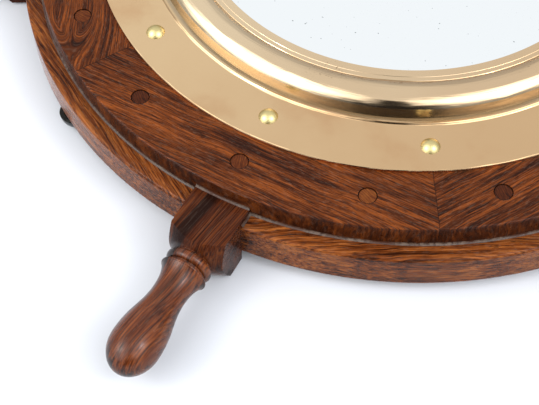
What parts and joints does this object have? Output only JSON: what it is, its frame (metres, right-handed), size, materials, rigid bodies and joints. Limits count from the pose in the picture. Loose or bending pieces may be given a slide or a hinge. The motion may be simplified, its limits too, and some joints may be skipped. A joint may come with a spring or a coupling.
{
  "type": "ship steering wheel",
  "caption": "Decorative ship's steering wheel with turned rosewood handles, a faced rim and a brass porthole ring round a mirror, lying on domed feet.",
  "frame": {"origin": "on the wheel's axis, at the level that its three feet rest on", "axes": "+Z along the wheel's axis out of its face, -Y along handle 1, +X to the right of that handle seen from the face"},
  "size_m": [0.527, 0.6054, 0.0553],
  "materials": {
    "facing_rosewood": "varnished, satin gloss",
    "felloe_rosewood": "varnished, satin gloss",
    "spoke_rosewood": "turned and varnished, gloss",
    "plug_rosewood": "end grain, varnished",
    "ring_brass": "polished",
    "pin_brass": "polished",
    "retainer_brass": "as turned",
    "small_brass": "as turned",
    "mirror": "silvered glass",
    "gasket_rubber": "matte",
    "foot_rubber": "glossy, moulded",
    "hardboard": "pressed, matte",
    "zinc_steel": "zinc plated",
    "hanger_steel": "brass-tinted zinc plate"
  },
  "bodies": {
    "wheel": {"backing_board": "hardboard", "backing_screws": "zinc_steel", "facing_plugs": "plug_rosewood", "facing_screws": "zinc_steel", "facing_segment_1": "facing_rosewood", "facing_segment_2": "facing_rosewood", "facing_segment_3": "facing_rosewood", "facing_segment_4": "facing_rosewood", "facing_segment_5": "facing_rosewood", "facing_segment_6": "facing_rosewood", "felloe_1": "felloe_rosewood", "felloe_2": "felloe_rosewood", "felloe_3": "felloe_rosewood", "felloe_4": "felloe_rosewood", "felloe_5": "felloe_rosewood", "felloe_6": "felloe_rosewood", "foot_1": "foot_rubber", "foot_2": "foot_rubber", "foot_3": "foot_rubber", "hanger_screws": "zinc_steel", "hanger_strap": "hanger_steel", "mirror_gasket": "gasket_rubber", "mirror_glass": "mirror", "porthole_ring": "ring_brass", "retaining_ring": "retainer_brass", "retaining_screws": "small_brass", "ring_pins": "pin_brass", "spoke_handle_1": "spoke_rosewood", "spoke_handle_2": "spoke_rosewood", "spoke_handle_3": "spoke_rosewood", "spoke_handle_4": "spoke_rosewood", "spoke_handle_5": "spoke_rosewood", "spoke_handle_6": "spoke_rosewood"},
    "hanger_ring": {"hanger_ring": "hanger_steel"}
  },
  "joints": [
    {"name": "hanger_ring_swing", "type": "hinge", "parent": "wheel", "child": "hanger_ring", "pos_m": [0.098, 0.16974, 0.00525], "axis": [-0.866, 0.5, 0], "range_deg": [0, 160]}
  ]
}
